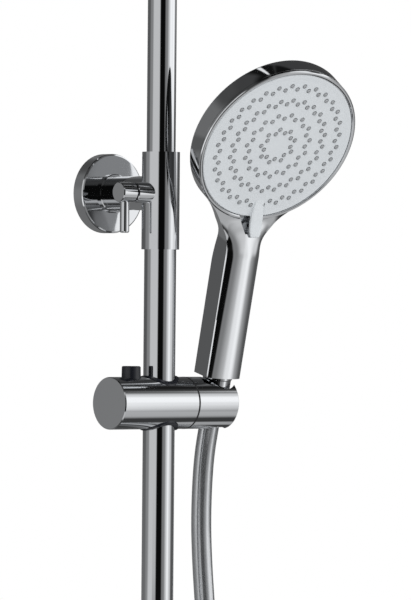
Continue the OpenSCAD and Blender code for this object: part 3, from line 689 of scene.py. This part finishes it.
def put_on(obj, material):
    obj.data.materials.clear()
    obj.data.materials.append(material)


class ShowerOperator:
    bl_options = {"REGISTER", "UNDO"}


class SHOWER_OT_camera(ShowerOperator, bpy.types.Operator):
    """Places the camera where the picture was taken from"""

    bl_idname = "shower.camera"
    bl_label = "Camera"

    def execute(self, context):
        view = context.scene.shower_view
        a = view.azimuth
        right = Vector((math.cos(a), math.sin(a), 0))
        back = Vector((math.sin(a), -math.cos(a), 0))
        up = Vector((0, 0, 1))
        tilted_right = right * math.cos(view.roll) + up * math.sin(view.roll)
        tilted_up = up * math.cos(view.roll) - right * math.sin(view.roll)
        target = Vector((0, -RISER_OFF, -SLIDER_DROP)) * MM
        across = (PICTURE_MIDDLE[0] - SLIDER_SPOT[0]) / view.scale
        along = (SLIDER_SPOT[1] - PICTURE_MIDDLE[1]) / view.scale
        data = bpy.data.cameras.new("picture_camera")
        data.sensor_fit = "VERTICAL"
        data.sensor_height = SENSOR
        data.sensor_width = SENSOR
        data.lens = SENSOR * view.scale * view.distance / PICTURE_HEIGHT
        data.clip_start = 0.1
        data.clip_end = 100
        camera = bpy.data.objects.new("picture_camera", data)
        context.scene.collection.objects.link(camera)
        place = Matrix((tilted_right, tilted_up, back)).transposed().to_4x4()
        place.translation = target + back * view.distance + tilted_right * across + tilted_up * along
        camera.matrix_world = place
        context.scene.camera = camera
        return {"FINISHED"}


class SHOWER_OT_hose(ShowerOperator, bpy.types.Operator):
    """Adds the hose: the free stretch below the holder and the spare length in its coil"""

    bl_idname = "shower.hose"
    bl_label = "Hose"

    def execute(self, context):
        sizes = context.scene.shower_hose
        colours = context.scene.shower_finish
        route = free_route()
        points = smooth_route(route, 6)[:-1] + smooth_route([route[-1]] + coil_route(route), 2)
        shift = Vector((0, -RISER_OFF, -SLIDER_DROP))
        points = [p + shift for p in points]
        radius = sizes.diameter / MM / 2
        obj = add_piece("hose", *skin(hose_rings(points, radius, sizes.sides)), sharp=50)
        put_on(obj, self.silver(colours.hose))
        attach(obj, "hose")
        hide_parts("shower_hose", "hose_coil")
        return {"FINISHED"}

    def silver(self, colour):
        """Satin silver skin under a clear jacket."""
        material, tree, shader = new_material("hose_silver_skin")
        shader.inputs["Metallic"].default_value = 0.85
        shader.inputs["Coat Weight"].default_value = 0.5
        shader.inputs["Coat Roughness"].default_value = 0.12
        cloud = add_noise(tree, 120, 2)
        add_tints(tree, shader, cloud.outputs["Fac"], tuple(c * 0.95 for c in colour), tuple(colour))
        tree.links.new(add_range(tree, cloud.outputs["Fac"], 0.17, 0.21), shader.inputs["Roughness"])
        grain = add_noise(tree, 2500, 1)
        add_relief(tree, shader, grain.outputs["Fac"], 0.03, 0.00001)
        return material


class SHOWER_OT_hand_shell(ShowerOperator, bpy.types.Operator):
    """Adds the back of the handle and of the head as smooth shells"""

    bl_idname = "shower.hand_shell"
    bl_label = "Hand shower shell"

    def execute(self, context):
        chrome = bpy.data.materials["chrome_plating"]
        sizes = context.scene.shower_hand
        crown = sizes.crown / MM
        heights = stations(GRIP_START, height_at(-NECK_END_V), 70)
        rings = [rear_outline(u, crown) for u in heights]
        grip = add_piece("handle_shell", *skin(rings), hand_matrix(), sharp=30)
        drum = turned([(0, -TRIM_DEPTH), (HEAD_R + 0.05, -TRIM_DEPTH), (HEAD_R + 0.05, 60), (0, 60)], 160)
        cut_with(grip, *drum, face_matrix())
        cut_with(grip, *pocket(sizes.tab_width / MM / 2), face_matrix())
        tidy_normals(grip, 30)
        put_on(grip, chrome)
        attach(grip, "hand_shower")
        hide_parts("rear_shell")
        head = add_piece("head_shell", *turned(self.head_profile(), 160), face_matrix(), sharp=30)
        put_on(head, chrome)
        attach(head, "hand_shower")
        return {"FINISHED"}

    def head_profile(self):
        """Side wall and dome of the head, as radius and depth."""
        points = [(HEAD_R - 3, -TRIM_DEPTH), (HEAD_R - 0.15, -TRIM_DEPTH), (HEAD_R, -TRIM_DEPTH - 0.15)]
        points += [(HEAD_R, -RIM_T), (HEAD_R - 0.25, -RIM_T - 0.8), (HEAD_R - 0.9, -RIM_T - 1.4)]
        deep = HEAD_DEPTH - RIM_T - 2
        for i in range(25):
            t = i / 24
            points.append((lerp(HEAD_R - 3, 0, t), -RIM_T - 2 - deep * math.sin(math.pi / 2 * t)))
        return points


class SHOWER_OT_hand_cover(ShowerOperator, bpy.types.Operator):
    """Adds the crowned front of the handle and neck, cut out around the face and the tab"""

    bl_idname = "shower.hand_cover"
    bl_label = "Hand shower front"

    def execute(self, context):
        sizes = context.scene.shower_hand
        crown = sizes.crown / MM
        heights = stations(GRIP_START, HEAD_UP - join_v() * 0.84, 96)
        rings = [front_outline(u, crown) for u in heights]
        cover = add_piece("front_shell", *skin(rings), hand_matrix(), sharp=30)
        drum = turned([(0, -30), (HEAD_R + 0.05, -30), (HEAD_R + 0.05, 60), (0, 60)], 160)
        cut_with(cover, *drum, face_matrix())
        cut_with(cover, *pocket(sizes.tab_width / MM / 2), face_matrix())
        tidy_normals(cover, 16)
        put_on(cover, bpy.data.materials["chrome_plating"])
        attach(cover, "hand_shower")
        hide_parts("front_cover")
        return {"FINISHED"}


class SHOWER_OT_seam_ring(ShowerOperator, bpy.types.Operator):
    """Adds the dark ring in the seam between slider and holder, with a thin lip over either edge"""

    bl_idname = "shower.seam_ring"
    bl_label = "Seam ring"

    def execute(self, context):
        lip = context.scene.shower_slider.seam_lip / MM
        inside, under, top, chamfer = SLIDER_R - 5, SLIDER_R + 0.01, SLIDER_R + 0.06, 0.05
        shape = [(inside, SEAM_START), (under, SEAM_START), (under, SEAM_START - lip)]
        shape += [(top, SEAM_START - lip + chamfer), (top, SEAM_END + lip - chamfer)]
        shape += [(under, SEAM_END + lip), (under, SEAM_END), (inside, SEAM_END)]
        turn = Matrix.Translation((0, -RISER_OFF, -SLIDER_DROP)) @ Matrix.Rotation(math.pi / 2, 4, "Y")
        obj = add_piece("seam_ring", *turned(shape + shape[:1], 128), turn, sharp=40)
        put_on(obj, bpy.data.materials["seal_rubber"])
        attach(obj, "slider")
        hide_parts("friction_ring")
        return {"FINISHED"}


class SHOWER_OT_nozzles(ShowerOperator, bpy.types.Operator):
    """Adds the soft nozzles of the spray face, in pairs on four rings"""

    bl_idname = "shower.nozzles"
    bl_label = "Nozzles"

    def execute(self, context):
        sizes = context.scene.shower_hand
        radius, high = sizes.nozzle / MM / 2, sizes.nozzle_height / MM
        pitch, bore = sizes.ring_spacing / MM, 0.35
        out, aside = 1.375, 2.4
        mat_start, mat_end, mat_top, mat_foot = 3.5, 50.7, -2.5, -4.5
        shape = [(0, -0.4), (bore * 0.8, -0.4), (bore, high - 0.1), (bore + 0.1, high - 0.01)]
        shape += [(radius - 0.95, high), (radius - 0.65, high - 0.15), (radius - 0.5, high - 0.45)]
        shape += [(radius - 0.4, -0.6), (radius, -0.7), (radius, -2.5)]
        tip = turned(shape, 20)
        tab_turn = Matrix.Rotation(math.radians(-TAB_SWING), 4, "Z")
        parts = []
        for ring, (count, phase) in enumerate(NOZZLE_RINGS, 1):
            for i in range(count):
                spin = Matrix.Rotation(math.radians(phase + 360 * i / count), 4, "Z")
                for side in (-1, 1):
                    place = spin @ Matrix.Translation((ring * pitch + side * out, side * aside, 0))
                    beside_tab = tab_turn @ place.translation
                    if beside_tab.y > -43 or abs(beside_tab.x) > 3:
                        parts.append(moved(tip, place))
        section = [(mat_start, mat_top), (mat_end, mat_top), (mat_end, mat_foot), (mat_start, mat_foot)]
        mat = turned(section + section[:1], 96)
        obj = add_piece("nozzles", *joined(parts + [mat]), face_matrix(), sharp=40)
        put_on(obj, bpy.data.materials["nozzle_silicone"])
        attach(obj, "spray_face")
        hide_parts("nozzle_mat")
        return {"FINISHED"}


class SHOWER_OT_selector_tab(ShowerOperator, bpy.types.Operator):
    """Adds the smooth selector tab at the lower edge of the face"""

    bl_idname = "shower.selector_tab"
    bl_label = "Selector tab"

    def execute(self, context):
        half = context.scene.shower_hand.tab_width / MM / 2 + 0.14
        rows = smooth_route([Vector(row) for row in TAB_ROWS], 5)
        rings = [self.arch(half * share, -far, low, high) for share, far, low, high in rows]
        share, far, low, high = TAB_ROWS[-1]
        for i in range(1, 8):
            a = math.radians(12 * i)
            narrow = half * share * (math.cos(a) * 0.5 + 0.5)
            close = 0.45 * (1 - math.cos(a))
            y = -far - 0.9 * math.sin(a)
            rings.append(self.arch(narrow, y, lerp(low, high, close), lerp(high, low, close)))
        turn = Matrix.Rotation(math.radians(TAB_SWING), 4, "Z")
        obj = add_piece("selector_tab", *skin(rings), face_matrix() @ turn, sharp=50)
        put_on(obj, bpy.data.materials["face_plastic"])
        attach(obj, "spray_face")
        return {"FINISHED"}

    def arch(self, half, y, low, high, steps=22):
        """Cross-section of the tab: upright sides under a rounded top."""
        points = [(half, y, low)]
        shoulder = min(0.9, (high - low) * 0.5)
        for i in range(steps + 1):
            a = math.pi * i / steps
            x = half * math.copysign(abs(math.cos(a)) ** 0.5, math.cos(a))
            points.append((x, y, high - shoulder + shoulder * math.sin(a) ** 0.55))
        points.append((-half, y, low))
        return points


class SHOWER_OT_finishes(ShowerOperator, bpy.types.Operator):
    """Makes the finishes and puts them on the nodes that stay as they are"""

    bl_idname = "shower.finishes"
    bl_label = "Finishes"

    def execute(self, context):
        colours = context.scene.shower_finish
        chrome = plated("chrome_plating", colours.chrome, 0.03, 0.07)
        tube = plated("tube_chrome", colours.chrome, 0.02, 0.05, 0.01)
        steel = machined("bright_steel", (0.55, 0.56, 0.58), 0.25, (1, 1, 6))
        brass = machined("turned_brass", (0.72, 0.52, 0.22), 0.22, (1, 1, 8))
        zinc = machined("zinc_plate", (0.42, 0.43, 0.45), 0.38, (3, 1, 1))
        dark = moulded("dark_plastic", colours.dark, 0.22, 0.1, 1600, 0.05)
        rubber = moulded("seal_rubber", (0.014, 0.014, 0.015), 0.6, 0.15, 900, 0.2)
        acetal = moulded("natural_acetal", (0.74, 0.75, 0.76), 0.42, 0.03)
        grey = moulded("satin_grey", (0.33, 0.35, 0.37), 0.4, 0.05)
        face = moulded("face_plastic", colours.face, 0.24, 0.015, 1200, 0.03)
        nozzle = moulded("nozzle_silicone", colours.nozzle, 0.45, 0.08, 1500, 0.08)
        finishes = {
            tube: ("lower_tube", "upper_tube", "riser_bracket"),
            chrome: (
                "flange_cover", "inlet_adapter", "inlet_nut", "outlet_adapter", "lock_knob", "lever_pin",
                "slider_body", "slider_end_cap", "holder", "rear_shell", "front_cover", "face_trim",
                "hand_connector", "cone_nut", "end_nut",
            ),
            steel: ("lock_screw", "pad_spring", "button_spring", "axle_screw", "axle_washer", "grub_screw"),
            brass: ("clamp_shoe", "face_pivot", "hose_ferrule", "end_ferrule"),
            zinc: ("wall_plate",),
            dark: ("bush_rings", "release_button", "friction_ring", "coil_ties"),
            rubber: ("inlet_washer", "seal_rings", "connector_seal", "end_washer"),
            acetal: ("tube_bush", "seal_plug", "slider_bush", "spray_chamber"),
            grey: ("brake_pad", "water_tube", "shower_hose", "hose_coil"),
            face: ("face_plate",),
            nozzle: ("nozzle_mat",),
        }
        for material, names in finishes.items():
            for name in names:
                put_on(nodes[name], material)
        return {"FINISHED"}


class SHOWER_OT_studio(ShowerOperator, bpy.types.Operator):
    """Adds the floor, the lamps and the panels that the chrome mirrors"""

    bl_idname = "shower.studio"
    bl_label = "Studio"

    def execute(self, context):
        scene = context.scene
        scene.view_settings.view_transform = "Standard"
        self.world(scene)
        self.floor()
        self.lamp("key_lamp", place=(-1.6, -2.2, 1.5), size=1.6, power=22)
        self.lamp("fill_lamp", place=(1.9, -1.6, 0.3), size=1.4, power=9)
        self.dome(scene.shower_view.azimuth)
        return {"FINISHED"}

    def world(self, scene):
        """White behind the object, and a softer level for the light that falls on it."""
        world = bpy.data.worlds.new("studio_world")
        scene.world = world
        world.use_nodes = True
        tree = world.node_tree
        tree.nodes.clear()
        output = tree.nodes.new("ShaderNodeOutputWorld")
        seen = tree.nodes.new("ShaderNodeBackground")
        seen.inputs["Color"].default_value = (1, 1, 1, 1)
        seen.inputs["Strength"].default_value = 1.0
        soft = tree.nodes.new("ShaderNodeBackground")
        soft.inputs["Color"].default_value = (0.97, 0.985, 1, 1)
        soft.inputs["Strength"].default_value = 0.72
        path = tree.nodes.new("ShaderNodeLightPath")
        either = tree.nodes.new("ShaderNodeMath")
        either.operation = "MAXIMUM"
        also = tree.nodes.new("ShaderNodeMath")
        also.operation = "MAXIMUM"
        mix = tree.nodes.new("ShaderNodeMixShader")
        link = tree.links.new
        link(path.outputs["Is Camera Ray"], either.inputs[0])
        link(path.outputs["Is Glossy Ray"], either.inputs[1])
        link(either.outputs[0], also.inputs[0])
        link(path.outputs["Is Transmission Ray"], also.inputs[1])
        link(also.outputs[0], mix.inputs["Fac"])
        link(soft.outputs[0], mix.inputs[1])
        link(seen.outputs[0], mix.inputs[2])
        link(mix.outputs[0], output.inputs["Surface"])

    def floor(self):
        """Pale floor that keeps the object's shadow, and that no mirror shows."""
        place = Matrix.Translation((0, -100, FLOOR_Z))
        obj = add_piece("floor", *turned([(0, 0), (1200, 0), (2200, 0)], 64), place)
        obj.visible_glossy = False
        material = moulded("floor_paint", (0.86, 0.86, 0.86), 0.7, 0.01, 300, 0.02, 0.2)
        put_on(obj, material)

    def lamp(self, name, place, size, power):
        """Large soft lamp that points at the set."""
        data = bpy.data.lights.new(name, "AREA")
        data.shape = "DISK"
        data.size = size
        data.energy = power
        obj = bpy.data.objects.new(name, data)
        bpy.context.scene.collection.objects.link(obj)
        obj.location = place
        aim = Vector((0.02, -0.08, -0.05)) - Vector(place)
        obj.rotation_mode = "QUATERNION"
        obj.rotation_quaternion = aim.to_track_quat("-Z", "Y")
        obj.visible_glossy = False

    def dome(self, azimuth):
        """Ring of soft lamps and dark cloths around the set, which only mirrors show."""
        steps, rows = 240, 120
        verts, faces, shades = [], [], []
        for i in range(rows + 1):
            rise = -90 + 180 * i / rows
            for k in range(steps):
                turn = -180 + 360 * k / steps
                world = azimuth - math.pi / 2 + math.radians(turn)
                flat = ROOM_R * math.cos(math.radians(rise))
                high = ROOM_R * math.sin(math.radians(rise))
                verts.append((flat * math.cos(world), flat * math.sin(world), high))
                shades.append(self.shade(turn, rise))
        for i in range(rows):
            for k in range(steps):
                a, b = i * steps + k, i * steps + (k + 1) % steps
                faces.append((a, b, b + steps, a + steps))
        mesh = bpy.data.meshes.new("lamp_ring")
        middle = Vector((0, -RISER_OFF, -60))
        mesh.from_pydata([(Vector(v) + middle) * MM for v in verts], [], faces)
        level = mesh.color_attributes.new("level", "FLOAT_COLOR", "POINT")
        for item, value in zip(level.data, shades):
            item.color = (value * 0.985, value * 0.993, value, 1)
        obj = bpy.data.objects.new("lamp_ring", mesh)
        bpy.context.scene.collection.objects.link(obj)
        material = bpy.data.materials.new("lamp_ring")
        material.use_nodes = True
        tree = material.node_tree
        tree.nodes.clear()
        output = tree.nodes.new("ShaderNodeOutputMaterial")
        glow = tree.nodes.new("ShaderNodeEmission")
        source = tree.nodes.new("ShaderNodeVertexColor")
        source.layer_name = "level"
        tree.links.new(source.outputs["Color"], glow.inputs["Color"])
        tree.links.new(glow.outputs[0], output.inputs["Surface"])
        put_on(obj, material)
        obj.visible_camera = False
        obj.visible_diffuse = False
        obj.visible_shadow = False
        obj.visible_transmission = False

    def shade(self, turn, rise):
        """Brightness towards a direction: each lamp or cloth covers those before it."""
        value = ROOM_LEVEL
        for start, end, low, high, soft_turn, soft_rise, level in LAMPS:
            middle, half = (start + end) / 2, (end - start) / 2
            off = abs((turn - middle + 180) % 360 - 180)
            across = ease((half - off) / soft_turn + 0.5)
            along = min(ease((rise - low) / soft_rise + 0.5), ease((high - rise) / soft_rise + 0.5))
            value = lerp(value, level, across * along)
        return value


class SHOWER_PT_panel(bpy.types.Panel):
    bl_label = "Shower Set"
    bl_idname = "SHOWER_PT_panel"
    bl_space_type = "VIEW_3D"
    bl_region_type = "UI"
    bl_category = "Shower Set"

    def draw(self, context):
        for settings in ("shower_view", "shower_slider", "shower_hand", "shower_hose", "shower_finish"):
            box = self.layout.box()
            group = getattr(context.scene, settings)
            for name in group.__annotations__:
                box.prop(group, name)
        for operator in OPERATORS:
            self.layout.operator(operator.bl_idname)


SETTINGS = (ViewSettings, SliderSizes, HandShowerSizes, HoseSizes, FinishColours)
OPERATORS = (
    SHOWER_OT_camera,
    SHOWER_OT_hose,
    SHOWER_OT_finishes,
    SHOWER_OT_hand_shell,
    SHOWER_OT_hand_cover,
    SHOWER_OT_seam_ring,
    SHOWER_OT_nozzles,
    SHOWER_OT_selector_tab,
    SHOWER_OT_studio,
)


def register():
    for item in SETTINGS + OPERATORS + (SHOWER_PT_panel,):
        bpy.utils.register_class(item)
    bpy.types.Scene.shower_view = PointerProperty(type=ViewSettings)
    bpy.types.Scene.shower_slider = PointerProperty(type=SliderSizes)
    bpy.types.Scene.shower_hand = PointerProperty(type=HandShowerSizes)
    bpy.types.Scene.shower_hose = PointerProperty(type=HoseSizes)
    bpy.types.Scene.shower_finish = PointerProperty(type=FinishColours)


def unregister():
    for name in ("shower_view", "shower_slider", "shower_hand", "shower_hose", "shower_finish"):
        delattr(bpy.types.Scene, name)
    for item in reversed(SETTINGS + OPERATORS + (SHOWER_PT_panel,)):
        bpy.utils.unregister_class(item)


def main():
    register()
    bpy.ops.shower.camera()
    bpy.ops.shower.hose()
    bpy.ops.shower.finishes()
    bpy.ops.shower.hand_shell()
    bpy.ops.shower.hand_cover()
    bpy.ops.shower.seam_ring()
    bpy.ops.shower.nozzles()
    bpy.ops.shower.selector_tab()
    bpy.ops.shower.studio()


if __name__ == "__main__":
    main()
